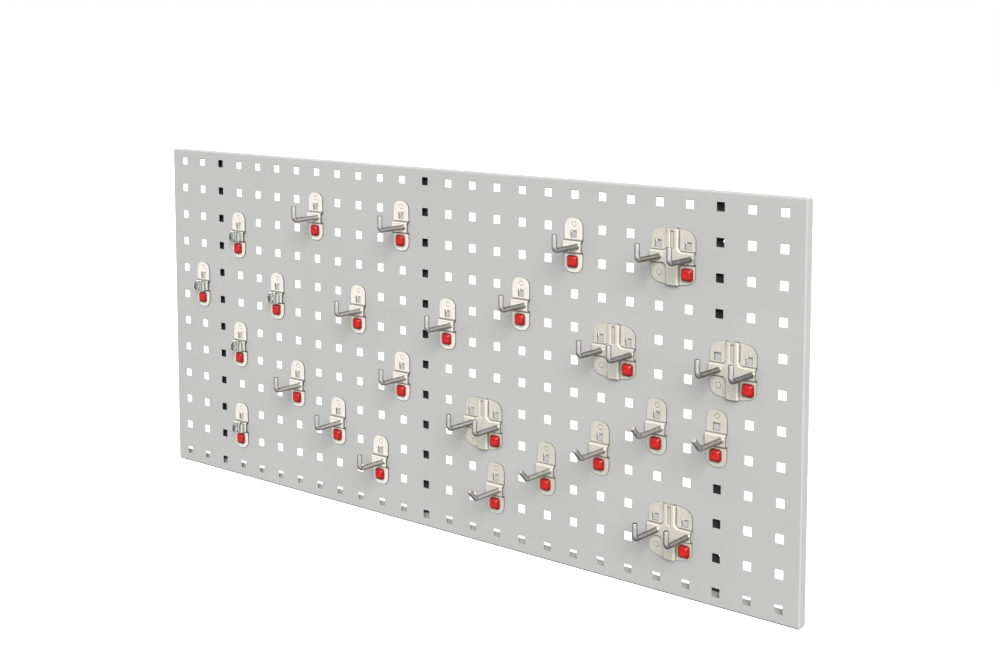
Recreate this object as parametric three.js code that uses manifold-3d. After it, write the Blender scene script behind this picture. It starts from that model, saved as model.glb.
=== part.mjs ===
// Perforated tool panel: a folded steel sheet on three wall rails, with hooks and spring clamps
// that hang in its square holes, each secured by a plastic locking clip.
// Millimetres. +X runs along the panel to the right, +Z is up and +Y goes into the wall.
// The origin is the middle of the panel's outline, on the wall plane that the rails rest against.
import * as THREE from "three";
import { mergeVertices } from "three/addons/utils/BufferGeometryUtils.js";
import Module from "manifold-3d";

const wasm = await Module();
wasm.setup();

// Driving dimensions.
const GAP = 0.3; // clearance between parts that rest on each other
const GRID = { columns: 26, rows: 12, pitch: 38, hole: 10 };
const PANEL = { width: 1000, height: 450, depth: 12, sheet: 1.25, lip: 13, cornerGap: 0.6 };
const RAIL = { web: 42, foot: 6, sheet: 1.5, length: 422, screwHole: 5.5, screwRows: [1, 4, 7, 10] };
const RAIL_COLUMNS = { left: 2, middle: 12, right: 23 };
// A holder plate is measured from the centre of the hole that its locking clip sits in.
const PLATE = { sheet: 1.5, width: 25, bottom: -12.8, top: 49.2, corner: 10 };
const DOUBLE_PLATE = { width: 56, corner: 12, crown: 1.5, filletInRib: 6 };
const CROSS_RIB = { width: 14, bottom: 11, top: 23.4 };
const BEAD = { bottom: 8.6, top: 24.6, slope: 2.6, height: 3.5 };
const TAB = { width: 8, root: 35.2, windowHeight: 8.7, windowWidth: 8.6, shoulder: 33.4, tip: 29.3 };
const CLIP_WINDOW = 9.6;
const CLIP = { head: 14, corner: 3, cornerSteps: 1, thickness: 5, length: 8 };
const CLIP_SHANK = { width: 8.2, barb: 9, barbLength: 2.4, split: 2.4 };
const ROD = { radius: 3, sides: 8, height: 17.5, weldDepth: 1 };
const SINGLE_ROD_X = 7;
const DOUBLE_ROD_SPACING = 40;
const DOUBLE_ROD_SHIFT = 4;
const UPRIGHT_END = { reach: 47, end: 18, angle: 0 };
const OBLIQUE_END = { reach: 47, end: 18, angle: 45 };
const SPRING = { x: 5, radius: 6.8, seat: 3.2, strip: 0.8, height: 12, mouthAngle: 48, rivetHole: 2.2 };
const SPRING_LIP = { radius: 2, angle: 105, steps: 3 };
const RIVET = { shank: 1.7, head: 3, headHeight: 1.1, sides: 8 };
const OVERLAP = 1; // how far a cutting or joining solid runs past the face it meets
const CURVE_STEPS = 2;
const ARC_STEP = 26; // degrees between points along a bent strip

// Where the holders hang: column and row of the locking clip's hole, from the top left hole.
const UPRIGHT_HOOKS = [
  [6, 8], [7, 2], [8, 9], [9, 5], [10, 10], [11, 2], [11, 7], [13, 5], [16, 4], [18, 2],
];
const OBLIQUE_HOOKS = [[15, 10], [17, 9], [19, 8], [21, 7], [23, 7]];
const DOUBLE_HOOKS = [[15, 8], [20, 5], [22, 2], [22, 10], [24, 5]];
const SPRING_CLAMPS = [[1, 5], [3, 3], [3, 7], [3, 10], [5, 5]];

const FINISHES = {
  panel: { color: 0xc6c6c4, roughness: 0.55, metalness: 0.1 },
  rail: { color: 0x161616, roughness: 0.6, metalness: 0.2 },
  zinc: { color: 0xd9d4c6, roughness: 0.4, metalness: 0.7 },
  spring: { color: 0xa6aaa8, roughness: 0.25, metalness: 0.9 },
  clip: { color: 0xd42a22, roughness: 0.35, metalness: 0 },
};

const PLATE_FRONT = GAP + PLATE.sheet;
const BEAD_FRONT = PLATE_FRONT + BEAD.height;
const FORWARD = new THREE.Vector3(0, -1, 0);
const UP = new THREE.Vector3(0, 0, 1);
const LEFT = new THREE.Vector3(-1, 0, 0);

const radians = THREE.MathUtils.degToRad;
const columnX = (column) => (column - (GRID.columns - 1) / 2) * GRID.pitch;
const rowZ = (row) => ((GRID.rows - 1) / 2 - row) * GRID.pitch;

// A closed three.js geometry as a solid that can be joined and cut.
function solid(geometry) {
  const bare = geometry.clone();
  bare.deleteAttribute("normal");
  bare.deleteAttribute("uv");
  const merged = mergeVertices(bare);
  const triVerts = Uint32Array.from(merged.index.array);
  const vertProperties = merged.attributes.position.array;
  return new wasm.Manifold(new wasm.Mesh({ numProp: 3, vertProperties, triVerts }));
}

const join = (...geometries) => geometries.map(solid).reduce((all, next) => all.add(next));
const cut = (body, ...tools) => tools.map(solid).reduce((left, tool) => left.subtract(tool), body);

function meshOf(name, body, finish) {
  const { vertProperties, triVerts } = body.getMesh();
  const geometry = new THREE.BufferGeometry();
  geometry.setAttribute("position", new THREE.BufferAttribute(vertProperties, 3));
  geometry.setIndex(new THREE.BufferAttribute(triVerts, 1));
  geometry.computeVertexNormals();
  const mesh = new THREE.Mesh(geometry, new THREE.MeshStandardMaterial(FINISHES[finish]));
  mesh.name = name;
  return mesh;
}

// A shape drawn in X and Z, as a slab from `back` to `front`, both measured forwards from Y = 0.
function slab(shape, back, front, curveSegments = CURVE_STEPS) {
  const options = { depth: front - back, bevelEnabled: false, curveSegments };
  const geometry = new THREE.ExtrudeGeometry(shape, options);
  geometry.translate(0, 0, back);
  return geometry.rotateX(Math.PI / 2);
}

// A profile of [forward, up] points, swept along X and centred on X = 0.
function swept(points, width) {
  const shape = new THREE.Shape(points.map(([forward, up]) => new THREE.Vector2(forward, up)));
  const geometry = new THREE.ExtrudeGeometry(shape, { depth: width, bevelEnabled: false });
  geometry.translate(0, 0, -width / 2);
  return geometry.applyMatrix4(new THREE.Matrix4().makeBasis(FORWARD, UP, LEFT));
}

function rectangle(left, right, bottom, top) {
  const corners = [[left, bottom], [right, bottom], [right, top], [left, top]];
  return new THREE.Shape(corners.map(([x, z]) => new THREE.Vector2(x, z)));
}

const square = (size, x, z) => rectangle(x - size / 2, x + size / 2, z - size / 2, z + size / 2);

// A rectangle with round corners whose top and bottom edges may bow outwards by `crown`.
function roundedRectangle(left, right, bottom, top, radius, crown = 0) {
  const shape = new THREE.Shape();
  const middle = (left + right) / 2;
  shape.moveTo(left + radius, bottom);
  if (crown) shape.quadraticCurveTo(middle, bottom - 2 * crown, right - radius, bottom);
  shape.absarc(right - radius, bottom + radius, radius, -Math.PI / 2, 0);
  shape.absarc(right - radius, top - radius, radius, 0, Math.PI / 2);
  if (crown) shape.quadraticCurveTo(middle, top + 2 * crown, left + radius, top);
  shape.absarc(left + radius, top - radius, radius, Math.PI / 2, Math.PI);
  shape.absarc(left + radius, bottom + radius, radius, Math.PI, Math.PI * 1.5);
  return shape;
}

function box(left, right, bottom, top, back, front) {
  return slab(rectangle(left, right, bottom, top), back, front);
}

// A round bar between two points.
function bar(start, end, radius, sides) {
  const length = start.distanceTo(end);
  const geometry = new THREE.CylinderGeometry(radius, radius, length, sides);
  const along = end.clone().sub(start).divideScalar(length);
  geometry.applyQuaternion(new THREE.Quaternion().setFromUnitVectors(THREE.Object3D.DEFAULT_UP, along));
  const middle = start.clone().lerp(end, 0.5);
  return geometry.translate(middle.x, middle.y, middle.z);
}

// The folded sheet: face with square holes, four flanges, and a return lip at top and bottom.
function perforatedPanel() {
  const x = PANEL.width / 2;
  const z = PANEL.height / 2;
  const { sheet, depth, lip, cornerGap } = PANEL;
  const holes = [];
  for (let column = 0; column < GRID.columns; column++) {
    for (let row = 0; row < GRID.rows; row++) {
      holes.push(slab(square(GRID.hole, columnX(column), rowZ(row)), depth - 2 * sheet, depth + sheet));
    }
  }
  const pieces = [box(-x, x, -z, z, depth - sheet, depth)];
  for (const side of [-1, 1]) {
    const flangeX = [side * x, side * (x - sheet)].sort((a, b) => a - b);
    const flangeZ = [side * z, side * (z - sheet)].sort((a, b) => a - b);
    const lipZ = [side * z, side * (z - lip)].sort((a, b) => a - b);
    const inner = z - sheet - cornerGap;
    const lipEnd = x - sheet - cornerGap;
    pieces.push(box(...flangeX, -inner, inner, 0, depth));
    pieces.push(box(-x, x, ...flangeZ, 0, depth));
    pieces.push(box(-lipEnd, lipEnd, ...lipZ, 0, sheet));
  }
  return cut(join(...pieces), ...holes);
}

// Hat section: the web lies on the wall, and two feet lie on the back of the panel's face.
function wallRail() {
  const { web, foot, sheet, length } = RAIL;
  const front = PANEL.depth - PANEL.sheet - GAP;
  const inside = web / 2 - sheet;
  const outside = web / 2 + foot;
  const profile = new THREE.Shape();
  const corners = [
    [-web / 2, 0], [web / 2, 0], [web / 2, front - sheet], [outside, front - sheet], [outside, front],
    [inside, front], [inside, sheet], [-inside, sheet], [-inside, front], [-outside, front],
    [-outside, front - sheet], [-web / 2, front - sheet],
  ];
  // Drawn in X and -Y, and extruded along Z.
  profile.setFromPoints(corners.map(([x, forward]) => new THREE.Vector2(x, -forward)).reverse());
  const body = new THREE.ExtrudeGeometry(profile, { depth: length, bevelEnabled: false });
  body.translate(0, 0, -length / 2);
  const holes = RAIL.screwRows.map((row) => {
    const start = new THREE.Vector3(0, OVERLAP, rowZ(row));
    const end = new THREE.Vector3(0, -sheet - OVERLAP, rowZ(row));
    return bar(start, end, RAIL.screwHole / 2, RIVET.sides);
  });
  return cut(solid(body), ...holes);
}

// The tab is bent back out of its window, slopes down through a panel hole and hooks over the
// hole's lower edge, behind the sheet.
function hookTab(x) {
  const { width, root, shoulder, tip } = TAB;
  const { sheet } = PLATE;
  const front = -PANEL.sheet - GAP;
  const back = front - sheet;
  const profile = [
    [PLATE_FRONT, root + sheet], [PLATE_FRONT, root], [GAP, root], [front, shoulder], [front, tip],
    [back, tip], [back, shoulder + sheet / 2], [0, root + sheet],
  ];
  return swept(profile.reverse(), width).translate(x, 0, 0);
}

function tabWindow(x) {
  const half = TAB.windowWidth / 2;
  return box(x - half, x + half, TAB.root - TAB.windowHeight, TAB.root, GAP / 2, BEAD_FRONT);
}

const clipWindow = (x) => slab(square(CLIP_WINDOW, x, 0), GAP / 2, BEAD_FRONT);

// Narrow plate: a strip with a raised bead right across it, rounded at both ends.
function singlePlate() {
  const { bottom, top, width, corner, sheet } = PLATE;
  const low = BEAD.bottom;
  const high = BEAD.top;
  const profile = [
    [GAP, bottom], [PLATE_FRONT, bottom], [PLATE_FRONT, low], [BEAD_FRONT, low + BEAD.slope],
    [BEAD_FRONT, high - BEAD.slope], [PLATE_FRONT, high], [PLATE_FRONT, top], [GAP, top],
    [GAP, high - sheet / 2], [BEAD_FRONT - sheet, high - BEAD.slope - sheet / 2],
    [BEAD_FRONT - sheet, low + BEAD.slope + sheet / 2], [GAP, low + sheet / 2],
  ];
  const outline = roundedRectangle(-width / 2, width / 2, bottom, top, corner);
  const plate = solid(swept(profile, width)).intersect(solid(slab(outline, 0, BEAD_FRONT + OVERLAP)));
  return cut(plate, tabWindow(0), clipWindow(0)).add(solid(hookTab(0)));
}

// Wide plate over two columns of holes: a cross-shaped rib with rounded inner corners.
function doublePlate() {
  const { width, corner, crown, filletInRib } = DOUBLE_PLATE;
  const { bottom, top, sheet } = PLATE;
  const half = width / 2;
  const rib = CROSS_RIB.width / 2;
  const outline = roundedRectangle(-half, half, bottom + crown, top - crown, corner, crown);
  const pockets = [];
  for (const [left, right] of [[-2 * half, -rib], [rib, 2 * half]]) {
    for (const [low, high] of [[bottom - half, CROSS_RIB.bottom], [CROSS_RIB.top, top + half]]) {
      const pocket = roundedRectangle(left, right, low, high, filletInRib);
      pockets.push(slab(pocket, PLATE_FRONT, BEAD_FRONT + OVERLAP));
    }
  }
  const back = BEAD_FRONT - sheet;
  const hollows = [
    box(-rib + sheet, rib - sheet, bottom - half, top + half, 0, back),
    box(-2 * half, 2 * half, CROSS_RIB.bottom + sheet, CROSS_RIB.top - sheet, 0, back),
  ];
  const holeX = GRID.pitch / 2;
  const windows = [tabWindow(-holeX), tabWindow(holeX), clipWindow(holeX)];
  const plate = cut(solid(slab(outline, GAP, BEAD_FRONT)), ...pockets, ...hollows, ...windows);
  return plate.add(join(hookTab(-holeX), hookTab(holeX)));
}

// A rod from the bead straight out, then bent up: `angle` leans its end forwards from upright.
function hookRod(x, { reach, end, angle }) {
  const root = new THREE.Vector3(x, -(BEAD_FRONT - ROD.weldDepth), ROD.height);
  const bend = new THREE.Vector3(x, -reach, ROD.height);
  const lean = radians(angle);
  const tip = new THREE.Vector3(0, -Math.sin(lean), Math.cos(lean)).multiplyScalar(end).add(bend);
  const corner = new THREE.SphereGeometry(ROD.radius, ROD.sides, ROD.sides / 2);
  corner.translate(bend.x, bend.y, bend.z);
  return [bar(root, bend, ROD.radius, ROD.sides), corner, bar(bend, tip, ROD.radius, ROD.sides)];
}

const uprightHook = () => singlePlate().add(join(...hookRod(SINGLE_ROD_X, UPRIGHT_END)));
const obliqueHook = () => singlePlate().add(join(...hookRod(SINGLE_ROD_X, OBLIQUE_END)));

function doubleHook() {
  const half = DOUBLE_ROD_SPACING / 2;
  const rods = [-half, half].flatMap((x) => hookRod(x + DOUBLE_ROD_SHIFT, UPRIGHT_END));
  return doublePlate().add(join(...rods)).translate([-GRID.pitch / 2, 0, 0]);
}

// Plate of a spring clamp, with the rivet that holds the spring on its bead.
function clampPlate() {
  const at = (forward) => new THREE.Vector3(SPRING.x, -forward, ROD.height);
  const springFront = BEAD_FRONT + GAP + SPRING.strip;
  const headBack = springFront + GAP;
  const headFront = headBack + RIVET.headHeight;
  const shank = bar(at(BEAD_FRONT - ROD.weldDepth), at(headFront), RIVET.shank, RIVET.sides);
  const head = bar(at(headBack), at(headFront), RIVET.head, RIVET.sides);
  return singlePlate().add(join(shank, head));
}

// Half of the spring strip's centre line, from the middle of its back to the tip of its lip:
// points [x, forward] along the flat seat, round the grip, and then curled outwards.
function springHalfLine() {
  const onArc = (radius, x, forward, angle) => [
    x + radius * Math.sin(angle),
    forward - radius * Math.cos(angle),
  ];
  const seatForward = BEAD_FRONT + GAP + SPRING.strip / 2;
  const seatAngle = Math.asin(SPRING.seat / SPRING.radius);
  const centre = seatForward + SPRING.radius * Math.cos(seatAngle);
  const gripEnd = radians(180 - SPRING.mouthAngle);
  const gripSteps = Math.round((gripEnd - seatAngle) / radians(ARC_STEP));
  const points = [[0, seatForward]];
  for (let step = 0; step < gripSteps; step++) {
    const angle = seatAngle + ((gripEnd - seatAngle) * step) / gripSteps;
    points.push(onArc(SPRING.radius, 0, centre, angle));
  }
  const lipCentre = onArc(SPRING.radius + SPRING_LIP.radius, 0, centre, gripEnd);
  for (let step = 0; step <= SPRING_LIP.steps; step++) {
    const angle = gripEnd + Math.PI - radians((SPRING_LIP.angle * step) / SPRING_LIP.steps);
    points.push(onArc(SPRING_LIP.radius, ...lipCentre, angle));
  }
  return points;
}

// The strip's outline: its centre line moved half a strip to each side.
function springStrip() {
  const half = springHalfLine();
  const mirrored = half.slice(1).map(([x, forward]) => [-x, forward]).reverse();
  const line = [...mirrored, ...half].map(([x, forward]) => new THREE.Vector2(x, -forward));
  const sides = [1, -1].map((side) =>
    line.map((point, i) => {
      const before = line[Math.max(i - 1, 0)];
      const after = line[Math.min(i + 1, line.length - 1)];
      const along = after.clone().sub(before).normalize();
      const normal = new THREE.Vector2(-along.y, along.x);
      return point.clone().addScaledVector(normal, (side * SPRING.strip) / 2);
    }),
  );
  const outline = new THREE.Shape([...sides[0], ...sides[1].reverse()]);
  const strip = new THREE.ExtrudeGeometry(outline, { depth: SPRING.height, bevelEnabled: false });
  strip.translate(0, 0, ROD.height - SPRING.height / 2);
  const hole = bar(
    new THREE.Vector3(0, 0, ROD.height),
    new THREE.Vector3(0, -(BEAD_FRONT + SPRING.radius), ROD.height),
    SPRING.rivetHole,
    RIVET.sides,
  );
  return cut(solid(strip), hole).translate([SPRING.x, 0, 0]);
}

// Push-in clip: a square head and a split shank whose barbs pass through plate and panel.
function lockingClip() {
  const { head, corner, cornerSteps, thickness, length } = CLIP;
  const { width, barb, barbLength, split } = CLIP_SHANK;
  const back = PLATE_FRONT + GAP;
  const outline = roundedRectangle(-head / 2, head / 2, -head / 2, head / 2, corner);
  const cap = slab(outline, back, back + thickness, cornerSteps);
  const tip = back - length;
  const behindSheet = -PANEL.sheet - GAP;
  const upperLeg = [
    [back + thickness / 2, width / 2], [behindSheet, width / 2], [behindSheet, barb / 2],
    [behindSheet - barbLength, width / 2], [tip, split], [tip, split / 2], [back, split / 2],
  ];
  const lowerLeg = upperLeg.map(([forward, up]) => [forward, -up]).reverse();
  return join(cap, swept([...upperLeg, ...lowerLeg], width));
}

const HOLDERS = [
  { kind: "upright_hook", places: UPRIGHT_HOOKS, plate: uprightHook() },
  { kind: "oblique_hook", places: OBLIQUE_HOOKS, plate: obliqueHook() },
  { kind: "double_hook", places: DOUBLE_HOOKS, plate: doubleHook() },
  { kind: "clamp_plate", places: SPRING_CLAMPS, plate: clampPlate(), spring: springStrip() },
];

const toolWall = new THREE.Group();
toolWall.add(meshOf("perforated_panel", perforatedPanel(), "panel"));

const rail = wallRail();
for (const [side, column] of Object.entries(RAIL_COLUMNS)) {
  const mesh = meshOf(`wall_rail_${side}`, rail, "rail");
  mesh.position.x = columnX(column);
  toolWall.add(mesh);
}

const clip = lockingClip();
for (const { kind, places, plate, spring } of HOLDERS) {
  places.forEach(([column, row], i) => {
    const number = String(i + 1).padStart(2, "0");
    const holder = new THREE.Group();
    holder.position.set(columnX(column), -PANEL.depth, rowZ(row));
    holder.add(meshOf(`${kind}_${number}`, plate, "zinc"));
    holder.add(meshOf(`${kind}_${number}_lock`, clip, "clip"));
    if (spring) holder.add(meshOf(`spring_clamp_${number}`, spring, "spring"));
    toolWall.add(holder);
  });
}

export default toolWall;
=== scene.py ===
"""Looks for the pegboard tool wall: panel, rails, hooks, spring clamps and locking clips.

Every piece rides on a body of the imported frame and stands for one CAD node.
"""
import math

import bmesh
import bpy
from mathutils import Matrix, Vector


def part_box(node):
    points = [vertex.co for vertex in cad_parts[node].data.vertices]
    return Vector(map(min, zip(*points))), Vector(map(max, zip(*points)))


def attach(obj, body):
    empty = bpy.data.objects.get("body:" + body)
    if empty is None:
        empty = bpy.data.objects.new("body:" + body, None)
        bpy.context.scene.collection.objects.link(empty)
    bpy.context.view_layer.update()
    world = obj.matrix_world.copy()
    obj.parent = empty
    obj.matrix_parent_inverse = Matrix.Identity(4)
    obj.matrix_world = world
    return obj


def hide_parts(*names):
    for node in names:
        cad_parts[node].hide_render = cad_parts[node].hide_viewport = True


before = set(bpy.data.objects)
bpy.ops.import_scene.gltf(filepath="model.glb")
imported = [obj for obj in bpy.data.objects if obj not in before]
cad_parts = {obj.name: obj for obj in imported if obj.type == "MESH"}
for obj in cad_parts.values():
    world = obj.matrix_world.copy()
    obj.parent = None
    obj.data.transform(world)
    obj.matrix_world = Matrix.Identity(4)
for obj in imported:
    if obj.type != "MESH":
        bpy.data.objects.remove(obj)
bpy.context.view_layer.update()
MM = 0.001

# ---------------------------------------------------------------- driving sizes, in millimetres
BOARD = "wall_board"
PITCH, HOLE, COLUMNS, ROWS = 38.0, 10.0, 26, 12
HOLE_CORNER = 0.45
PANEL_SHEET, PANEL_BEND, PANEL_LIP = 1.25, 2.0, 13.0
RAIL_WEB, RAIL_FOOT, RAIL_SHEET, RAIL_BEND, RAIL_SCREW = 42.0, 6.0, 1.5, 2.0, 5.5
RAIL_SCREW_ROWS, RAIL_OVER = (1, 4, 7, 10), 0.9
# Plates: across from their middle, heights from the centre of the clip's hole, forward from the panel's face.
SHEET, GAP = 1.5, 0.3
PLATE_FRONT = GAP + SHEET
PLATE_LOW, PLATE_HIGH, PLATE_HALF, PLATE_CORNER = -12.8, 49.2, 12.5, 10.0
DOUBLE_HALF, DOUBLE_CORNER, DOUBLE_CROWN = 28.0, 12.0, 1.5
RIB_HALF, RIB_LOW, RIB_HIGH, RIB_FILLET, RIB_SLOPE = 7.0, 11.0, 23.4, 6.0, 2.0
BEAD_LOW, BEAD_HIGH, BEAD_SLOPE, BEAD_RISE = 8.6, 24.6, 2.6, 3.5
BEAD_FRONT = PLATE_FRONT + BEAD_RISE
TAB_HALF, TAB_ROOT, TAB_SHOULDER, TAB_TIP, TAB_BACK = 4.0, 35.2, 33.4, 29.3, -2.3
TAB_TURN, TAB_DROP = 0.6, 0.55  # reach and fall of each of the tab's two bends
TAB_WINDOW_HALF, TAB_WINDOW_LOW, CLIP_WINDOW_HALF = 4.3, 26.5, 4.8
ROD_RADIUS, ROD_HEIGHT, ROD_BEND, ROD_REACH, ROD_END = 3.0, 17.5, 5.0, 47.0, 18.0
SINGLE_ROD_X, DOUBLE_ROD_SPACING, DOUBLE_ROD_SHIFT = 7.0, 40.0, 4.0
# Tones of painted shade in folds, painted highlight on ridges, painted shade on the clips' rims and on the
# panel's left and bottom bends, as factors of the colour.
CREASE_SHADE_TONE, RIDGE_HIGHLIGHT_TONE, RIM_SHADE_TONE, BEND_SHADE_TONE = 0.26, 1.18, 0.35, 0.1
STEP, FINE, LEAST_STEP = 1.0, 0.4, 0.15  # spacing of the pressed plates' mesh: in general, at bends, at least
END_ROWS = 10  # mesh rows in each rounded end of a plate


def box_mm(node):
    low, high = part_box(node)
    return low / MM, high / MM


def smooth(x):
    """0 below 0, 1 above 1, and an even curve between."""
    x = min(max(x, 0.0), 1.0)
    return x * x * (3 - 2 * x)


def crease(x, rounding=0.22):
    """0 below 0, 1 above 1, and a straight slope between with rounded ends."""
    x = min(max(x, 0.0), 1.0)
    if x > 0.5:
        return 1 - crease(1 - x, rounding)
    if x < rounding:
        return x * x / (2 * rounding * (1 - rounding))
    return (x - rounding / 2) / (1 - rounding)


def spaced(start, end, step):
    """Even values from start to end, both included, about step apart."""
    count = max(1, round(abs(end - start) / step))
    return [start + (end - start) * i / count for i in range(count + 1)]


# ---------------------------------------------------------------- camera
CAMERA_PLACE = (1.2149, -1.3768, 0.3953)
CAMERA_YAW, CAMERA_PITCH = 39.241, 5.493  # degrees left of +Y, degrees down
CAMERA_LENS, CAMERA_SENSOR, CAMERA_SHIFT = 54.353, 36.0, -0.16
CAMERA_NEAR, CAMERA_FAR = 0.01, 50.0


def make_camera():
    """The viewing angle of the photograph: from the right, a little above, looking slightly down."""
    yaw, pitch = math.radians(CAMERA_YAW), math.radians(CAMERA_PITCH)
    towards = Vector((-math.sin(yaw) * math.cos(pitch), math.cos(yaw) * math.cos(pitch), -math.sin(pitch)))
    data = bpy.data.cameras.new("camera")
    data.lens, data.sensor_width, data.shift_y = CAMERA_LENS, CAMERA_SENSOR, CAMERA_SHIFT
    data.clip_start, data.clip_end = CAMERA_NEAR, CAMERA_FAR
    camera = bpy.data.objects.new("camera", data)
    camera.location = CAMERA_PLACE
    camera.rotation_mode = "QUATERNION"
    camera.rotation_quaternion = towards.to_track_quat("-Z", "Y")
    bpy.context.scene.collection.objects.link(camera)
    bpy.context.scene.camera = camera


# ---------------------------------------------------------------- materials
# Scales of noise on each axis: below 1 it is drawn out along that axis.
ROD_GRAIN, STRIP_GRAIN, STRIP_REFLECTION_BANDS = (1, 0.08, 1), (1, 1, 0.1), (1, 1, 0.02)
ROD_REFLECTION_SPAN = (0.02, 0.56)  # how far a rod turns away between the lightest and the darkest tone of its painted reflection
REFLECTION_BAND_SPAN = (0.44, 0.56)  # the noise values between a strip's dark and light painted reflection bands
ROD_BLOTCHES = 0.15  # share of blotches in a rod's tone


def shader(name, color, roughness, metallic=0.0):
    material = bpy.data.materials.new(name)
    material.use_nodes = True
    material.diffuse_color = (*color, 1)
    bsdf = material.node_tree.nodes["Principled BSDF"]
    bsdf.inputs["Base Color"].default_value = (*color, 1)
    bsdf.inputs["Roughness"].default_value = roughness
    bsdf.inputs["Metallic"].default_value = metallic
    return material, bsdf


def node(material, kind, **values):
    made = material.node_tree.nodes.new(kind)
    for key, value in values.items():
        if key in made.inputs:
            made.inputs[key].default_value = value
        else:
            setattr(made, key, value)
    return made


def link(material, output, target):
    material.node_tree.links.new(output, target)


def noise(material, scale, detail, stretch=(1, 1, 1)):
    """A noise value in the piece's own space, `scale` features to the metre."""
    place = node(material, "ShaderNodeTexCoord")
    mapping = node(material, "ShaderNodeMapping")
    mapping.inputs["Scale"].default_value = stretch
    link(material, place.outputs["Object"], mapping.inputs["Vector"])
    texture = node(material, "ShaderNodeTexNoise", Scale=scale, Detail=detail)
    link(material, mapping.outputs["Vector"], texture.inputs["Vector"])
    return texture.outputs["Fac"]


def ramp(material, value, low, high, span=(0.3, 0.7)):
    """A colour or grey that runs from low to high as value goes through the span."""
    made = node(material, "ShaderNodeValToRGB")
    stops = made.color_ramp.elements
    stops[0].position, stops[1].position = span
    stops[0].color = (*low, 1) if hasattr(low, "__len__") else (low, low, low, 1)
    stops[1].color = (*high, 1) if hasattr(high, "__len__") else (high, high, high, 1)
    link(material, value, made.inputs["Fac"])
    return made.outputs["Color"]


def bump(material, bsdf, value, strength, distance):
    made = node(material, "ShaderNodeBump", Strength=strength, Distance=distance)
    link(material, value, made.inputs["Height"])
    link(material, made.outputs["Normal"], bsdf.inputs["Normal"])


def tint(color, factor):
    return tuple(channel * factor for channel in color)


def uneven_gloss(material, bsdf, value, roughness, below, above):
    """Roughness that a noise value takes from `below` under the mean to `above` over it."""
    link(material, ramp(material, value, roughness - below, roughness + above), bsdf.inputs["Roughness"])


def marked_share(material, attribute):
    """The value between 0 and 1 that a mesh stores under this name."""
    return node(material, "ShaderNodeAttribute", attribute_name=attribute).outputs["Fac"]


def coated(name, color, roughness, peel):
    """Powder coat: orange-peel bump, faint unevenness of colour and of gloss, and painted shade where the
    mesh marks it.
    """
    material, bsdf = shader(name, color, roughness)
    cloud = ramp(material, noise(material, 7.0, 2.0), tint(color, 0.975), tint(color, 1.02))
    share = marked_share(material, "painted_shade")
    link(material, mixed(material, cloud, tint(color, BEND_SHADE_TONE), share), bsdf.inputs["Base Color"])
    uneven_gloss(material, bsdf, noise(material, 60.0, 3.0), roughness, 0.05, 0.05)
    bump(material, bsdf, noise(material, 900.0, 2.0), peel, 0.00008)
    return material


def mixed(material, below, above, share):
    """The colour `below`, blended towards `above` by a share between 0 and 1."""
    made = node(material, "ShaderNodeMix", data_type="RGBA")
    for value, name in ((below, "A_Color"), (above, "B_Color"), (share, "Factor_Float")):
        target = next(socket for socket in made.inputs if socket.identifier == name)
        if isinstance(value, float):
            target.default_value = value
        elif isinstance(value, tuple):
            target.default_value = (*value, 1)
        else:
            link(material, value, target)
    return next(socket for socket in made.outputs if socket.identifier == "Result_Color")


def plated(name, color, roughness, metallic):
    """Zinc plate on pressed steel: blotches of tone, painted shade in inward folds and on marked slopes,
    painted highlight on outward folds, fine grain and uneven gloss.
    """
    material, bsdf = shader(name, color, roughness, metallic)
    tone = ramp(material, noise(material, 120.0, 4.0), tint(color, 0.93), tint(color, 1.04))
    for attribute, factor in (("painted_shade", CREASE_SHADE_TONE), ("painted_highlight", RIDGE_HIGHLIGHT_TONE)):
        tone = mixed(material, tone, tint(color, factor), marked_share(material, attribute))
    link(material, tone, bsdf.inputs["Base Color"])
    uneven_gloss(material, bsdf, noise(material, 700.0, 3.0), roughness, 0.07, 0.09)
    bump(material, bsdf, noise(material, 1500.0, 2.0), 0.12, 0.00004)
    return material


def drawn(name, dark, light, roughness, metallic):
    """Zinc-plated drawn rod with a painted reflection: bright along its middle and dark towards its outline,
    with fine streaks.
    """
    material, bsdf = shader(name, light, roughness, metallic)
    facing = node(material, "ShaderNodeLayerWeight", Blend=0.5).outputs["Facing"]
    tone = ramp(material, facing, light, dark, ROD_REFLECTION_SPAN)
    blotch = ramp(material, noise(material, 160.0, 3.0), tint(dark, 0.8), tint(light, 0.9))
    link(material, mixed(material, tone, blotch, ROD_BLOTCHES), bsdf.inputs["Base Color"])
    uneven_gloss(material, bsdf, noise(material, 700.0, 3.0, ROD_GRAIN), roughness, 0.07, 0.09)
    bump(material, bsdf, noise(material, 1500.0, 2.0, ROD_GRAIN), 0.12, 0.00004)
    return material


def banded(name, dark, light, roughness, metallic):
    """Polished strip: painted reflection, as bright and dark bands that run up it."""
    material, bsdf = shader(name, light, roughness, metallic)
    reflection_bands = noise(material, 520.0, 1.0, STRIP_REFLECTION_BANDS)
    link(material, ramp(material, reflection_bands, dark, light, REFLECTION_BAND_SPAN), bsdf.inputs["Base Color"])
    uneven_gloss(material, bsdf, noise(material, 900.0, 2.0, STRIP_GRAIN), roughness, 0.05, 0.08)
    bump(material, bsdf, noise(material, 1500.0, 2.0, STRIP_GRAIN), 0.1, 0.00003)
    return material


def moulded(name, color, roughness):
    """Moulded plastic: soft gloss with a very fine texture, and painted shade on its rim."""
    material, bsdf = shader(name, color, roughness)
    tone = ramp(material, noise(material, 150.0, 2.0), tint(color, 0.93), tint(color, 1.05))
    share = marked_share(material, "painted_shade")
    link(material, mixed(material, tone, tint(color, RIM_SHADE_TONE), share), bsdf.inputs["Base Color"])
    uneven_gloss(material, bsdf, noise(material, 500.0, 2.0), roughness, 0.06, 0.06)
    bump(material, bsdf, noise(material, 1800.0, 2.0), 0.1, 0.00003)
    return material


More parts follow.
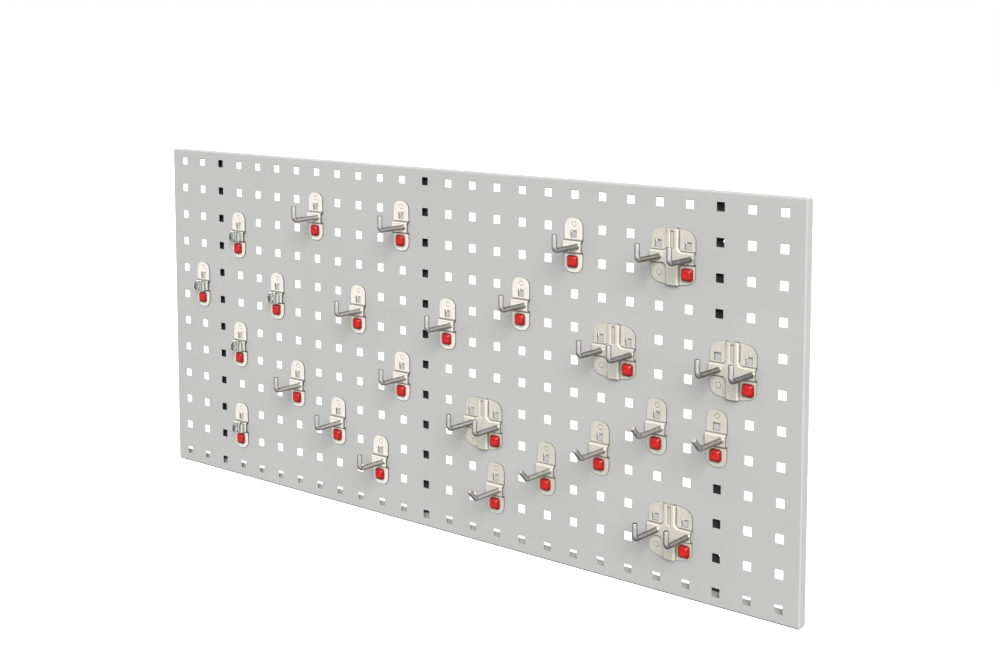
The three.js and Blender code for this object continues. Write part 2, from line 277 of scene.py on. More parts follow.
def make_materials():
    return {
        "panel": coated("panel_powder_coat", (0.493, 0.493, 0.49), 0.5, 0.25),
        "rail": coated("rail_black_coat", (0.05, 0.05, 0.052), 0.5, 0.3),
        "zinc_light": plated("zinc_light_plate", (0.89, 0.845, 0.765), 0.42, 0.12),
        "zinc_warm": plated("zinc_warm_plate", (0.69, 0.665, 0.58), 0.40, 0.2),
        # The plates' side and window edges: dark tones that paint the shade on them.
        "shaded_edge_light": plated("zinc_light_shaded_edge", (0.15, 0.135, 0.11), 0.5, 0.6),
        "shaded_edge_warm": plated("zinc_warm_shaded_edge", (0.22, 0.20, 0.16), 0.5, 0.6),
        # The rods' dark and light tones are those of their painted reflection.
        "rod": drawn("zinc_rod", (0.04, 0.038, 0.033), (0.90, 0.885, 0.86), 0.22, 0.6),
        "rod_warm": drawn("zinc_warm_rod", (0.12, 0.11, 0.095), (0.97, 0.94, 0.88), 0.22, 0.45),
        "weld": plated("weld_bead", (0.55, 0.52, 0.46), 0.3, 0.5),
        # The spring's dark and light tones are those of its painted reflection bands.
        "spring": banded("spring_steel_strip", (0.15, 0.18, 0.16), (0.86, 0.9, 0.86), 0.2, 0.65),
        "rivet": plated("rivet_head", (0.45, 0.46, 0.44), 0.25, 0.95),
        "lock": moulded("red_lock_plastic", (0.62, 0.012, 0.008), 0.32),
    }


# ---------------------------------------------------------------- mesh tools
class Surface:
    """A mesh built from shared points given in millimetres."""

    def __init__(self):
        self.points, self.index, self.faces = [], {}, []

    def point(self, x, y, z):
        key = (round(x, 4), round(y, 4), round(z, 4))
        if key not in self.index:
            self.index[key] = len(self.points)
            self.points.append((x * MM, y * MM, z * MM))
        return self.index[key]

    def face(self, *corners):
        ring = [c if isinstance(c, int) else self.point(*c) for c in corners]
        kept = [c for i, c in enumerate(ring) if c != ring[i - 1]]
        if len(kept) > 2:
            self.faces.append(kept)

    def strips(self, rows):
        """Quads between rows of points, each row as long as the next."""
        for below, above in zip(rows, rows[1:]):
            for i in range(len(below) - 1):
                self.face(below[i], below[i + 1], above[i + 1], above[i])

    def mesh(self, name, towards=None):
        """The mesh, with its first face turned to look along `towards` and the others to agree with it."""
        made = bpy.data.meshes.new(name)
        made.from_pydata(self.points, [], self.faces)
        work = bmesh.new()
        work.from_mesh(made)
        bmesh.ops.recalc_face_normals(work, faces=work.faces)
        work.faces.ensure_lookup_table()
        if towards is not None and work.faces[0].normal.dot(Vector(towards)) < 0:
            bmesh.ops.reverse_faces(work, faces=work.faces)
        work.to_mesh(made)
        work.free()
        return made


def marked(mesh, name, values):
    """Stores a value between 0 and 1 at each point of a mesh, for its material to read."""
    attribute = mesh.attributes.new(name, "FLOAT", "POINT")
    attribute.data.foreach_set("value", values)
    return mesh


def settled(mesh, material, thickness=None, offset=-1.0, bevel=None, angle=50.0, edge=None, even=True):
    """A mesh thickened and with its sharp edges rounded, as a new mesh with even shading."""
    mesh.materials.clear()
    mesh.materials.append(material)
    if edge:
        mesh.materials.append(edge)
    holder = bpy.data.objects.new(mesh.name, mesh)
    bpy.context.scene.collection.objects.link(holder)
    if thickness:
        solid = holder.modifiers.new("thickness", "SOLIDIFY")
        solid.thickness, solid.offset, solid.use_even_offset = thickness * MM, offset, even
        solid.material_offset_rim = 1 if edge else 0
    if bevel:
        rounding = holder.modifiers.new("rounding", "BEVEL")
        rounding.width, rounding.segments = bevel * MM, 2
        rounding.limit_method, rounding.angle_limit = "ANGLE", math.radians(angle)
        rounding.use_clamp_overlap = True
    mesh.polygons.foreach_set("use_smooth", [True] * len(mesh.polygons))
    weights = holder.modifiers.new("shading", "WEIGHTED_NORMAL")
    weights.keep_sharp = True
    evaluated = holder.evaluated_get(bpy.context.evaluated_depsgraph_get())
    made = bpy.data.meshes.new_from_object(evaluated)
    made.name = mesh.name + "_final"
    bpy.data.objects.remove(holder)
    return made


def joined(name, meshes):
    """Several meshes as one, each with its own material."""
    parts = []
    for mesh in meshes:
        part = bpy.data.objects.new(name, mesh.copy())
        bpy.context.scene.collection.objects.link(part)
        parts.append(part)
    with bpy.context.temp_override(active_object=parts[0], selected_editable_objects=parts):
        bpy.ops.object.join()
    made = parts[0].data
    made.name = name
    bpy.data.objects.remove(parts[0])
    return made


def place(name, mesh, origin, body, slot, *nodes):
    """A piece at a point of the row frame, riding on a body and standing for CAD nodes."""
    piece = bpy.data.objects.new(name, mesh)
    bpy.context.scene.collection.objects.link(piece)
    piece.location = Vector(origin) * MM
    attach(piece, body)
    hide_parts(*nodes)
    return piece


def arc(centre, radius, start, end, steps):
    """Points of an arc in a plane, from angle start to angle end in degrees."""
    for i in range(steps + 1):
        a = math.radians(start + (end - start) * i / steps)
        yield centre[0] + radius * math.cos(a), centre[1] + radius * math.sin(a)


def tube(name, line, radius, sides=20, chamfer=0.5):
    """A round bar along points [x, forward, up] in a plane of constant x, with chamfered ends."""
    points = [Vector((x, -forward, up)) for x, forward, up in line]
    side = Vector((1, 0, 0))
    starts, ends = [points[0], *points[:-1]], [*points[1:], points[-1]]
    alongs = [(end - start).normalized() for start, end in zip(starts, ends)]
    rows = [(point, along, radius) for point, along in zip(points, alongs)]
    rows[0] = (points[0] + alongs[0] * chamfer, alongs[0], radius)
    rows[-1] = (points[-1] - alongs[-1] * chamfer, alongs[-1], radius)
    rows = [(points[0], alongs[0], radius - chamfer), *rows, (points[-1], alongs[-1], radius - chamfer)]
    loops = []
    for point, along, size in rows:
        other = along.cross(side)
        loops.append([])
        for k in range(sides + 1):
            angle = 2 * math.pi * k / sides
            loops[-1].append(tuple(point + (side * math.cos(angle) + other * math.sin(angle)) * size))
    made = Surface()
    made.strips(loops)
    made.face(*loops[0][:-1])
    made.face(*loops[-1][:-1])
    return made.mesh(name)


def turned(name, profile, x, up, sides=24, wobble=0.0):
    """A solid of revolution about the forward line through (x, up); profile holds [forward, radius]."""
    made = Surface()
    loops = []
    for forward, radius in profile:
        loops.append([])
        for k in range(sides + 1):
            angle = 2 * math.pi * (k % sides) / sides
            size = radius * (1 + wobble * math.sin(3 * angle + 1) * math.sin(5 * angle))
            loops[-1].append((x + size * math.cos(angle), -forward, up + size * math.sin(angle)))
    made.strips(loops)
    for end in (0, -1):
        if profile[end][1] > 0:
            made.face(*loops[end][:-1])
    return made.mesh(name)


# ---------------------------------------------------------------- panel
BEND_SHADE_WIDTH, BEND_SHADE_DEPTH = 0.9, 2.4  # where the painted shade on the bends is full outwards, and where it ends backwards


def hole_cell(surface, x0, x1, z0, z1, cx, cz, y):
    """The sheet between a cell's border and its square hole with small round corners, a row for each side."""
    edge, straight = HOLE / 2, HOLE / 2 - HOLE_CORNER
    corner = edge - HOLE_CORNER * (1 - math.sqrt(0.5))
    outer = [(x0, z0), (cx - straight, z0), (cx + straight, z0),
             (x1, z0), (x1, cz - straight), (x1, cz + straight),
             (x1, z1), (cx + straight, z1), (cx - straight, z1),
             (x0, z1), (x0, cz + straight), (x0, cz - straight)]
    inner = [(cx - corner, cz - corner), (cx - straight, cz - edge), (cx + straight, cz - edge),
             (cx + corner, cz - corner), (cx + edge, cz - straight), (cx + edge, cz + straight),
             (cx + corner, cz + corner), (cx + straight, cz + edge), (cx - straight, cz + edge),
             (cx - corner, cz + corner), (cx - edge, cz + straight), (cx - edge, cz - straight)]
    for i in range(len(outer)):
        surface.face(*[(x, y, z) for x, z in (outer[i - 1], outer[i], inner[i], inner[i - 1])])


def panel_mesh(material):
    low, high = box_mm("perforated_panel")
    bend = PANEL_BEND
    right, top, front, back = high.x - bend, high.z - bend, low.y, high.y
    xs = [(c - (COLUMNS - 1) / 2) * PITCH for c in range(COLUMNS)]
    zs = [(r - (ROWS - 1) / 2) * PITCH for r in range(ROWS)]
    x_edges = [-right] + [x + PITCH / 2 for x in xs[:-1]] + [right]
    z_edges = [-top] + [z + PITCH / 2 for z in zs[:-1]] + [top]
    made = Surface()
    for i, cx in enumerate(xs):
        for j, cz in enumerate(zs):
            hole_cell(made, x_edges[i], x_edges[i + 1], z_edges[j], z_edges[j + 1], cx, cz, front)
    inset = HOLE / 2 - HOLE_CORNER
    along_x = sorted(x_edges + [x + s * inset for x in xs for s in (-1, 1)])
    along_z = sorted(z_edges + [z + s * inset for z in zs for s in (-1, 1)])
    first_bend = list(arc((front + bend, 0), bend, 180, 90, 5))  # y, and how far out
    second_bend = list(arc((back - bend, 0), bend, 90, 0, 5))
    for side in (-1, 1):
        out_x = [(y, side * (right + out)) for y, out in first_bend + [(back, bend)]]
        made.strips([[(x, y, z) for z in along_z] for y, x in out_x])
        out_z = [(y, side * (top + out)) for y, out in first_bend + second_bend]
        out_z.append((back, side * (top + bend - PANEL_LIP)))
        made.strips([[(x, y, z) for x in along_x] for y, z in out_z])
    upright = first_bend + [(back - bend, bend)]
    for side_x in (-1, 1):
        for side_z in (-1, 1):
            x, z = side_x * right, side_z * top
            turns = [(side_x * dx, side_z * dz) for dx, dz in arc((0, 0), 1, 0, 90, 5)]
            made.strips([[(x + dx * out, y, z + dz * out) for y, out in upright] for dx, dz in turns])
    mesh = made.mesh("panel_sheet", (0, -1, 0))
    marked(mesh, "painted_shade", [bend_shade(point.co / MM, front, right, top) for point in mesh.vertices])
    return settled(mesh, material, PANEL_SHEET, bevel=0.2)


def bend_shade(point, front, right, top):
    """How much painted shade a point of the panel gets: along its left and bottom bends, which face away from
    the light.
    """
    out = max(-point.x - right, -point.z - top)
    return smooth(out / BEND_SHADE_WIDTH) * smooth(front + BEND_SHADE_DEPTH - point.y)


# ---------------------------------------------------------------- rails
RAIL_FOOT_BEND = 0.8
SCREW_CELL = 8.0  # half the side of the square of mesh round a screw hole


def rail_mesh(material):
    low, high = box_mm("wall_rail_middle")
    half, foot_back = RAIL_WEB / 2, low.y + RAIL_SHEET
    tip, small, cell = half + RAIL_FOOT, RAIL_FOOT_BEND, SCREW_CELL
    one_side = [(tip, foot_back), (half + small, foot_back)]
    one_side += list(arc((half + small, foot_back + small), small, 270, 180, 4))[1:]
    one_side += [(half, -RAIL_BEND)] + list(arc((half - RAIL_BEND, -RAIL_BEND), RAIL_BEND, 0, 90, 5))[1:]
    steps = spaced(-cell, cell, cell / 2)
    section = one_side + [(-x, 0.0) for x in steps] + [(-x, y) for x, y in reversed(one_side)]
    screw_z = [((ROWS - 1) / 2 - row) * PITCH for row in RAIL_SCREW_ROWS]
    heights = sorted([low.z - RAIL_OVER, high.z + RAIL_OVER] + [z + step for z in screw_z for step in steps])
    made = Surface()

    def in_cell(x, z):
        return abs(x) < cell and any(abs(z - hole) < cell for hole in screw_z)

    for (xa, ya), (xb, yb) in zip(section, section[1:]):
        for za, zb in zip(heights, heights[1:]):
            if not in_cell((xa + xb) / 2, (za + zb) / 2):
                made.face((xa, ya, za), (xb, yb, za), (xb, yb, zb), (xa, ya, zb))
    border = [(x, -cell) for x in steps] + [(cell, z) for z in steps[1:]]
    border += [(-x, cell) for x in steps[1:]] + [(-cell, -z) for z in steps[1:-1]]
    rim = [Vector(point).normalized() * RAIL_SCREW / 2 for point in border]
    for hole in screw_z:
        for i in range(len(border)):
            made.face(*[(x, 0.0, hole + z) for x, z in (border[i - 1], border[i], rim[i], rim[i - 1])])
    return settled(made.mesh("rail_sheet", (0, 1, 0)), material, RAIL_SHEET, bevel=0.3)


# ---------------------------------------------------------------- pressed plates
RING_DEPTH, RING_WIDTH = 0.45, 0.9
GROOVE_HALF, GROOVE_SLOPE, GROOVE_DEPTH, GROOVE_LOW, GROOVE_HIGH = 2.9, 1.2, 1.2, 25.0, 47.5
RIB_INSET = 0.35  # share of the rib's slope that lies inside its outline
FOLD_REACH, FOLD_TONE = 0.6, 1.6  # distance over which folds are measured, and how strongly they show as painted shade and painted highlight
BEAD_SLOPE_SHADE = 1.0  # strength of the painted shade on the light plates' upper bead slope
WINDOW_BLEND = 3.0  # how far beyond a window's edge the mesh still follows it
CROWN_HIGH, CROWN_LOW = 8.0, 5.0  # heights over which the bow of a plate's ends sets in


def ring_mark(u, w, centre_u, centre_w, radius):
    """A plain ring, stamped into the plate."""
    distance = math.hypot(u - centre_u, w - centre_w)
    return -RING_DEPTH * smooth(1 - abs(distance - radius) / RING_WIDTH)


def single_height(u, w):
    bead = crease((w - BEAD_LOW) / BEAD_SLOPE) * crease((BEAD_HIGH - w) / BEAD_SLOPE)
    return PLATE_FRONT + BEAD_RISE * bead + ring_mark(u, w, *SINGLE["mark"])


def double_height(u, w):
    beside, beyond = abs(u) - RIB_HALF, max(w - RIB_HIGH, RIB_LOW - w)
    depth = min(beside, beyond)
    if depth > -RIB_SLOPE and max(beside, beyond) < RIB_FILLET:
        depth = RIB_FILLET - math.hypot(RIB_FILLET - beside, RIB_FILLET - beyond)
    rib = 1 - crease(RIB_INSET + depth / RIB_SLOPE)
    groove = smooth((GROOVE_HALF - abs(u)) / GROOVE_SLOPE)
    groove *= smooth((w - GROOVE_LOW) / 3) * smooth((GROOVE_HIGH - w) / 2)
    return PLATE_FRONT + (BEAD_RISE - GROOVE_DEPTH * groove) * rib + ring_mark(u, w, *DOUBLE["mark"])


# Each plate: half its width, its corner radius, the bow of its ends, where its windows stand across and which
# of them has the clip below, its stamped ring (u, w, radius), and where its mesh is fine, across and upwards.
SINGLE = {
    "half": PLATE_HALF, "corner": PLATE_CORNER, "crown": 0.0, "centres": (0.0,), "clip": 0.0,
    "height": single_height, "mark": (0.0, 42.0, 2.7), "fine_u": ((-4.3, 4.3),),
    "fine_w": ((BEAD_LOW - 0.4, BEAD_LOW + BEAD_SLOPE + 0.4), (BEAD_HIGH - BEAD_SLOPE - 0.4, BEAD_HIGH + 0.4),
               (38.4, 45.6)),
}
DOUBLE = {
    "half": DOUBLE_HALF, "corner": DOUBLE_CORNER, "crown": DOUBLE_CROWN, "centres": (-PITCH / 2, PITCH / 2),
    "clip": PITCH / 2, "height": double_height, "mark": (-18.5, -0.5, 3.2),
    "fine_u": ((-23.3, -14.7), (-9.6, -5.2), (-3.2, -1.4), (1.4, 3.2), (5.2, 9.6)),
    "fine_w": ((-4.4, 3.6), (RIB_LOW - 2.6, RIB_LOW + 1.8), (RIB_HIGH - 1.8, RIB_HIGH + 2.6)),
}


def folds(plate, u, w):
    """How much the sheet is folded inwards and outwards at a point, both from 0 to 1: the shares of painted
    shade and painted highlight.
    """
    height, reach = plate["height"], FOLD_REACH
    around = [height(u + du, w + dw) for du, dw in ((reach, 0), (-reach, 0), (0, reach), (0, -reach))]
    bend = (sum(around) - 4 * height(u, w)) / reach
    return min(max(FOLD_TONE * bend, 0.0), 1.0), min(max(-FOLD_TONE * bend, 0.0), 1.0)


def stations(start, end, fixed, fine):
    """Values from start to end: even steps, finer in the fine ranges, and always through the fixed ones."""
    stops = sorted({start, end, *fixed, *(edge for span in fine for edge in span)})
    stops = [stop for stop in stops if start <= stop <= end]
    line = [start]
    for low, high in zip(stops, stops[1:]):
        middle = (low + high) / 2
        is_fine = any(a < middle < b for a, b in fine)
        line += spaced(low, high, FINE if is_fine else STEP)[1:]
    return line


def plate_rows(plate):
    """Heights of a plate's mesh rows, with the edges of its windows among them."""
    corner = plate["corner"]
    high = [PLATE_HIGH - corner + up for _, up in arc((0, 0), corner, 0, 90, END_ROWS)]
    low = [PLATE_LOW + corner - up for _, up in arc((0, 0), corner, 90, 0, END_ROWS)]
    fixed = (-CLIP_WINDOW_HALF, CLIP_WINDOW_HALF, TAB_WINDOW_LOW, TAB_ROOT)
    rows = stations(low[-1], high[0], fixed, plate["fine_w"]) + low[:-1] + high[1:]
    for span in plate["fine_w"]:
        rows += spaced(*span, FINE)
    kept = []
    for w in sorted(rows):
        if w in fixed or w in (PLATE_LOW, PLATE_HIGH):
            kept = [k for k in kept if w - k > LEAST_STEP] + [w]
        elif not kept or w - kept[-1] > LEAST_STEP:
            kept.append(w)
    return sorted({*kept, -CLIP_WINDOW_HALF})  # the clip window's lower edge lies in the rounded end


def half_width(w, half, corner):
    over = max(PLATE_LOW + corner - w, w - PLATE_HIGH + corner, 0.0)
    return half - corner + math.sqrt(max(corner * corner - over * over, 0.0))


def across(plate, u, w):
    """Where the mesh column of u lies at height w: the windows' widths differ, and the ends are round."""
    half = plate["half"]
    share = smooth((w - CLIP_WINDOW_HALF) / (TAB_WINDOW_LOW - CLIP_WINDOW_HALF))
    extra = (CLIP_WINDOW_HALF - TAB_WINDOW_HALF) * (1 - share)
    for centre in plate["centres"]:
        beyond = abs(u - centre) - TAB_WINDOW_HALF
        if beyond <= 0:
            u = centre + (u - centre) * (1 + extra / TAB_WINDOW_HALF)
            break
        if beyond < WINDOW_BLEND:
            u += math.copysign(extra * (1 - beyond / WINDOW_BLEND), u - centre)
            break
    squeeze = half_width(w, half, plate["corner"]) / half
    keep = smooth((squeeze - 0.9) / 0.09)  # inner columns hold their place where the outline turns in little
    return u * (squeeze + (1 - squeeze) * keep * (1 - abs(u) / half))


def plate_sheet(name, plate, shade=0.0):
    """A pressed sheet's front surface with its windows. The mesh follows its outline."""
    half = plate["half"]
    window_edges = [centre + side * TAB_WINDOW_HALF for centre in plate["centres"] for side in (-1, 1)]
    columns = stations(-half, half, window_edges, plate["fine_u"])
    rows = plate_rows(plate)
    table = []
    for w in rows:
        line = [across(plate, u, w) for u in columns]
        bow = smooth((w - TAB_ROOT) / CROWN_HIGH) - smooth((-w - CLIP_WINDOW_HALF) / CROWN_LOW)
        bows = [w - plate["crown"] * min((u / (half - plate["corner"])) ** 2, 1.0) * bow for u in line]
        table.append([(u, -plate["height"](u, z), z) for u, z in zip(line, bows)])
    made = Surface()
    for r, (w, above) in enumerate(zip(rows, rows[1:])):
        middle = (w + above) / 2
        for i, (u, beside) in enumerate(zip(columns, columns[1:])):
            centre = [c for c in plate["centres"] if abs((u + beside) / 2 - c) < TAB_WINDOW_HALF]
            in_tab_window = centre and TAB_WINDOW_LOW < middle < TAB_ROOT
            in_clip_window = centre and centre[0] == plate["clip"] and abs(middle) < CLIP_WINDOW_HALF
            if not in_tab_window and not in_clip_window:
                made.face(table[r][i], table[r][i + 1], table[r + 1][i + 1], table[r + 1][i])
    mesh = made.mesh(name, (0, -1, 0))
    # Painted shade inside the folds and on the light plates' upper bead slope, painted highlight along the
    # outward folds.
    tones = [folds(plate, point.co.x / MM, point.co.z / MM) for point in mesh.vertices]
    slope_shade = upper_slope_shade(mesh, shade)
    marked(mesh, "painted_shade", [max(fold_shade, extra) for (fold_shade, _), extra in zip(tones, slope_shade)])
    return marked(mesh, "painted_highlight", [painted_highlight for _, painted_highlight in tones])


def upper_slope_shade(mesh, shade):
    """How much painted shade each point of a sheet gets on the upper slope of its bead, at most `shade`."""
    low, high = BEAD_HIGH - BEAD_SLOPE, BEAD_HIGH
    heights = [point.co.z / MM for point in mesh.vertices]
    return [shade * smooth((w - low + 0.9) / 0.8) * smooth((high + 0.7 - w) / 0.8) for w in heights]


def bent(start, corner, end, steps=5):
    """Points of a bend from start to end, rounded off inside the corner."""
    for i in range(steps + 1):
        t = i / steps
        yield tuple((1 - t) ** 2 * a + 2 * t * (1 - t) * b + t * t * c for a, b, c in zip(start, corner, end))


def hook_tab(x, material, edge):
    """The tab bent back out of its window, through the panel's hole and down behind its lower edge."""
    level, lower = TAB_ROOT + SHEET / 2, TAB_SHOULDER + SHEET / 4
    line = [(PLATE_FRONT - SHEET / 2, level)]
    line += bent((TAB_TURN, level), (0.1, level), (-0.5, level - TAB_DROP))
    line += bent((TAB_BACK + TAB_TURN, lower + TAB_DROP), (TAB_BACK, lower), (TAB_BACK, lower - 0.8))
    line.append((TAB_BACK, TAB_TIP))
    made = Surface()
    made.strips([[(x + u, -forward, up) for u in spaced(-TAB_HALF, TAB_HALF, 2)] for forward, up in line])
    return settled(made.mesh("tab"), material, SHEET, 0.0, bevel=0.2, edge=edge)


def rod_line(x, reach, end, lean):
    """From inside the bead straight out, round the bend and up, leaning forwards by `lean` degrees."""
    turn = 90 - lean
    cut_back = ROD_BEND * math.tan(math.radians(turn / 2))
    root = BEAD_FRONT - 1.0
    line = [(x, forward, ROD_HEIGHT) for forward in spaced(root, reach - cut_back, 6)]
    centre = (reach - cut_back, ROD_HEIGHT + ROD_BEND)
    line += [(x, forward, up) for forward, up in arc(centre, ROD_BEND, -90, -90 + turn, 9)][1:]
    tip = Vector((math.sin(math.radians(lean)), math.cos(math.radians(lean)))) * end
    bend_end = Vector(line[-1][1:])
    line += [(x, *bend_end.lerp(Vector((reach, ROD_HEIGHT)) + tip, share)) for share in (0.5, 1.0)]
    return line


def weld(x):
    """The small fillet of weld round a rod's root."""
    profile = [(BEAD_FRONT - 0.6, 3.9), (BEAD_FRONT + 0.02, 3.85), (BEAD_FRONT + 0.2, 3.55),
               (BEAD_FRONT + 0.5, 3.3), (BEAD_FRONT + 0.9, 3.1), (BEAD_FRONT + 1.3, 2.9)]
    return turned("weld", profile, x, ROD_HEIGHT, wobble=0.04)


def rod_parts(x, lean, rod, bead):
    line = rod_line(x, ROD_REACH, ROD_END, lean)
    return [settled(tube("rod", line, ROD_RADIUS), rod), settled(weld(x), bead)]


def plate_parts(name, plate, material, edge, shade=0.0):
    """A plate's sheet and its hook tabs."""
    sheet = settled(plate_sheet(name, plate, shade), material, SHEET, bevel=0.3, edge=edge, even=False)
    return [sheet] + [hook_tab(x, material, edge) for x in plate["centres"]]


# ---------------------------------------------------------------- spring clamp, in millimetres and degrees
SPRING = {
    "x": 5.0, "radius": 6.8, "seat": 3.2, "strip": 0.8, "half_height": 6.0, "mouth": 48.0, "lip": 2.0,
    "lip_turn": 105.0, "tip_half_height": 1.6, "taper_points": 9,
}
RIVET = {"shank": 1.7, "head": 2.95, "crown": 0.75, "edge": 0.35}


def rivet(material):
    """The rivet that holds the strip: its shank starts inside the plate, its head is domed."""
    back = BEAD_FRONT + GAP + SPRING["strip"] + GAP
    shank, head, base = RIVET["shank"], RIVET["head"], back + RIVET["edge"]
    profile = [(BEAD_FRONT - 1, shank), (back, shank), (back, head - 0.25), (back + 0.15, head)]
    dome = (0.0, 0.35, 0.7, 1.0, 1.3)  # angles, in radians
    profile += [(base + RIVET["crown"] * math.sin(angle), head * math.cos(angle)) for angle in dome]
    profile.append((base + RIVET["crown"], 0.0))
    return settled(turned("rivet", profile, SPRING["x"], ROD_HEIGHT), material)


def spring_line():
    """Half of the strip's centre line as (x, forward): flat seat, round grip, lip curled outwards."""
    radius, seat = SPRING["radius"], SPRING["seat"]
    back = BEAD_FRONT + GAP + SPRING["strip"] / 2
    start = math.degrees(math.asin(seat / radius))
    centre = back + radius * math.cos(math.radians(start))
    end = 180 - SPRING["mouth"]
    line = [(x, back) for x in spaced(0, seat, 1.3)][:-1]
    line += [(x, forward) for x, forward in arc((0, centre), radius, start - 90, end - 90, 22)]
    reach = radius + SPRING["lip"]
    lip_x, lip_forward = reach * math.sin(math.radians(end)), centre - reach * math.cos(math.radians(end))
    line += list(arc((lip_x, lip_forward), SPRING["lip"], end + 90, end + 90 - SPRING["lip_turn"], 8))[1:]
    return line


def spring_mesh(material):
    half = spring_line()
    line = [(-x, forward) for x, forward in reversed(half[1:])] + half
    centre, full = SPRING["x"], SPRING["half_height"]
    made = Surface()
    rows = []
    for i, (x, forward) in enumerate(line):
        from_tip = min(i, len(line) - 1 - i)
        taper = max(1 - from_tip / SPRING["taper_points"], 0.0)
        height = full + (SPRING["tip_half_height"] - full) * taper
        heights = spaced(ROD_HEIGHT - height, ROD_HEIGHT + height, height / 2)
        rows.append([(centre + x, -forward, z) for z in heights])
    made.strips(rows)
    return settled(made.mesh("spring_strip"), material, SPRING["strip"], 0.0, bevel=0.15)


# ---------------------------------------------------------------- locking clip
LOCK = {"half": 7.0, "corner": 3.0, "thickness": 5.0, "shank": 4.1, "barb": 4.5, "length": 8.0, "split": 1.2,
        "face": 3.8}


def rounded_square(half, corner, steps=5):
    ring = []
    for sx, sz, start in ((1, -1, -90), (1, 1, 0), (-1, 1, 90), (-1, -1, 180)):
        ring += list(arc((sx * (half - corner), sz * (half - corner)), corner, start, start + 90, steps))
    return ring


def lock_head():
    """Square head with round corners: a rim, and a raised middle with sloping sides and a dished face."""
    back = PLATE_FRONT + GAP
    front = back + LOCK["thickness"]
    made = Surface()
    half, corner = LOCK["half"], LOCK["corner"]
    rim = [(back, 0.5), (back + 0.2, 0.15), (back + 0.6, 0.0), (front - 2.6, 0.1), (front - 2.2, 0.3)]
    step = [(front - 2.0, 0.7), (front - 1.95, 1.0), (front - 1.8, 1.25)]
    middle = [(front - 0.5, 2.5), (front - 0.15, 2.9), (front, 3.4)]
    dish = [(front - 0.06, 4.2), (front - 0.25, 4.8), (front - 0.3, 5.6)]
    loops = []
    for forward, inset in rim + step + middle + dish:
        ring = rounded_square(half - inset, max(corner - inset * 0.6, 0.8))
        loops.append([(x, -forward, z) for x, z in ring + ring[:1]])
    made.strips(loops)
    made.face(*loops[0][:-1])
    made.face(*loops[-1][:-1])
    mesh = made.mesh("lock_head")
    # Painted shade towards the head's rim, from the raised face outwards.
    out = [max(abs(point.co.x), abs(point.co.z)) / MM for point in mesh.vertices]
    return marked(mesh, "painted_shade", [smooth((far - LOCK["face"]) / (half - LOCK["face"])) for far in out])


def lock_leg(side):
    """One half of the split shank with its barb, as a profile [forward, up] swept across."""
    back, sheet_back = PLATE_FRONT + GAP, -PANEL_SHEET - GAP
    shank, barb, split = LOCK["shank"], LOCK["barb"], LOCK["split"]
    profile = [(back + 1, split), (back + 1, shank), (sheet_back, shank), (sheet_back, barb),
               (sheet_back - 2.4, shank), (back - LOCK["length"], 2 * split), (back - LOCK["length"], split)]
    made = Surface()
    ends = [[(x, -forward, side * up) for forward, up in profile] for x in (-shank, shank)]
    made.strips([[*end, end[0]] for end in ends])
    for end in ends:
        made.face(*end)
    return made.mesh("lock_leg")


def lock_mesh(material):
    legs = [settled(lock_leg(side), material, bevel=0.25, angle=25) for side in (-1, 1)]
    return joined("locking_clip", [settled(lock_head(), material), *legs])


# ---------------------------------------------------------------- putting it together
def build_board(materials):
    panel = panel_mesh(materials["panel"])
    place("panel_folded_sheet", panel, (0, 0, 0), BOARD, "panel_coating", "perforated_panel")
    mesh = rail_mesh(materials["rail"])
    for side in ("left", "middle", "right"):
        name = "wall_rail_" + side
        low, high = box_mm(name)
        origin = ((low.x + high.x) / 2, 0, 0)
        place(f"hat_rail_{side}", mesh, origin, BOARD, "rail_coating", name)


def holder_meshes(materials):
    light, warm, rod, bead = (materials[name] for name in ("zinc_light", "zinc_warm", "rod", "weld"))
    light_parts = plate_parts("single_plate", SINGLE, light, materials["shaded_edge_light"], BEAD_SLOPE_SHADE)
    warm_parts = plate_parts("single_plate", SINGLE, warm, materials["shaded_edge_warm"])
    double = plate_parts("double_plate", DOUBLE, warm, materials["shaded_edge_warm"])
    for side in (-1, 1):
        double += rod_parts(DOUBLE_ROD_SHIFT + side * DOUBLE_ROD_SPACING / 2, 0, rod, bead)
    oblique = warm_parts + rod_parts(SINGLE_ROD_X, 45, materials["rod_warm"], bead)
    return {
        "upright_hook": joined("upright_hook_mesh", light_parts + rod_parts(SINGLE_ROD_X, 0, rod, bead)),
        "oblique_hook": joined("oblique_hook_mesh", oblique),
        "double_hook": joined("double_hook_mesh", double),
        "clamp_plate": joined("clamp_plate_mesh", [*light_parts, rivet(materials["rivet"])]),
    }


def build_holders(materials):
    meshes = holder_meshes(materials)
    lock, spring = lock_mesh(materials["lock"]), spring_mesh(materials["spring"])
    front = box_mm("perforated_panel")[0].y
    for name in sorted(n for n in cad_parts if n.endswith("_lock")):
        holder = name.removesuffix("_lock")
        kind, number = holder.rsplit("_", 1)
        low, high = box_mm(name)
        hole = Vector(((low.x + high.x) / 2, front, (low.z + high.z) / 2))
        shift = Vector((-PITCH / 2, 0, 0)) if kind == "double_hook" else Vector()
        slot = "zinc_light" if kind in ("upright_hook", "clamp_plate") else "zinc_warm"
        place(f"{kind}_{number}_pressing", meshes[kind], hole + shift, BOARD, slot, holder)
        place(f"locking_clip_{kind}_{number}", lock, hole, name, "lock_plastic", name)
        if kind == "clamp_plate":
            place(f"spring_strip_{number}", spring, hole, BOARD, "spring_steel", f"spring_clamp_{number}")


# ---------------------------------------------------------------- surroundings
FLOOR_LEVEL, FLOOR_SIZE, FLOOR_GLOW = -0.9, 30.0, 0.6
KEY_DIRECTION, KEY_ANGLE, KEY_STRENGTH = (0.56, -0.68, 0.48), 30.0, 3.6
SKY_AHEAD, SKY_BELOW = 0.5, 0.12  # strength of the sky in front of the panel and below, against 1 elsewhere
SKY_AHEAD_SPAN, SKY_BELOW_SPAN = (-0.3, 0.1), (-0.5, -0.2)  # directions between which it rises, on Y and on Z


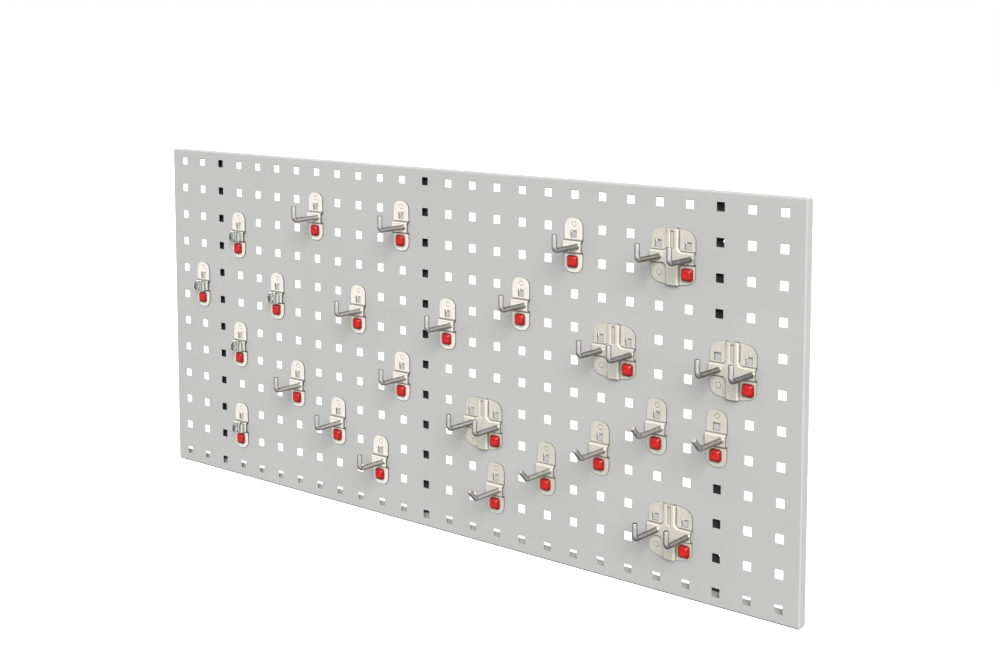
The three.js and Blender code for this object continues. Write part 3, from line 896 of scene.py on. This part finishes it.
def make_floor():
    """Pale floor. It is left out of reflections and bounces, so that undersides stay in shade."""
    mesh = bpy.data.meshes.new("floor")
    corners = [(x * FLOOR_SIZE, y * FLOOR_SIZE, FLOOR_LEVEL) for x, y in ((-1, -1), (1, -1), (1, 1), (-1, 1))]
    mesh.from_pydata(corners, [], [(0, 1, 2, 3)])
    material, bsdf = shader("floor_white", (0.95, 0.95, 0.95), 0.8)
    bsdf.inputs["Emission Color"].default_value = (1, 1, 1, 1)
    bsdf.inputs["Emission Strength"].default_value = FLOOR_GLOW
    mesh.materials.append(material)
    floor = bpy.data.objects.new("floor", mesh)
    bpy.context.scene.collection.objects.link(floor)
    floor.visible_diffuse, floor.visible_glossy = False, False


def make_sky():
    """White behind the panel and above it, half as strong in front of it, and dim below."""
    world = bpy.data.worlds.new("studio")
    world.use_nodes = True
    tree = world.node_tree
    background = tree.nodes["Background"]
    background.inputs["Color"].default_value = (1, 1, 1, 1)
    direction = tree.nodes.new("ShaderNodeTexCoord")
    parts = tree.nodes.new("ShaderNodeSeparateXYZ")
    tree.links.new(direction.outputs["Generated"], parts.inputs["Vector"])
    product = tree.nodes.new("ShaderNodeMath")
    product.operation = "MULTIPLY"
    spans = (("Z", *SKY_BELOW_SPAN, SKY_BELOW), ("Y", *SKY_AHEAD_SPAN, SKY_AHEAD))
    for factor, (axis, start, end, least) in zip(product.inputs, spans):
        shade = tree.nodes.new("ShaderNodeMapRange")
        shade.interpolation_type = "SMOOTHSTEP"
        for key, value in (("From Min", start), ("From Max", end), ("To Min", least), ("To Max", 1.0)):
            shade.inputs[key].default_value = value
        tree.links.new(parts.outputs[axis], shade.inputs["Value"])
        tree.links.new(shade.outputs["Result"], factor)
    tree.links.new(product.outputs["Value"], background.inputs["Strength"])
    bpy.context.scene.world = world


def make_key():
    """One soft light from the upper right that lights the whole panel evenly."""
    data = bpy.data.lights.new("key", "SUN")
    data.angle, data.energy = math.radians(KEY_ANGLE), KEY_STRENGTH
    key = bpy.data.objects.new("key", data)
    key.location = Vector(KEY_DIRECTION)
    key.rotation_mode = "QUATERNION"
    key.rotation_quaternion = (-key.location).to_track_quat("-Z", "Y")
    bpy.context.scene.collection.objects.link(key)


def make_surroundings():
    make_floor()
    make_sky()
    make_key()
    view = bpy.context.scene.view_settings
    view.view_transform, view.look = "Standard", "None"
    view.exposure, view.gamma = 0.0, 1.0


make_camera()
MATERIALS = make_materials()
build_board(MATERIALS)
build_holders(MATERIALS)
make_surroundings()
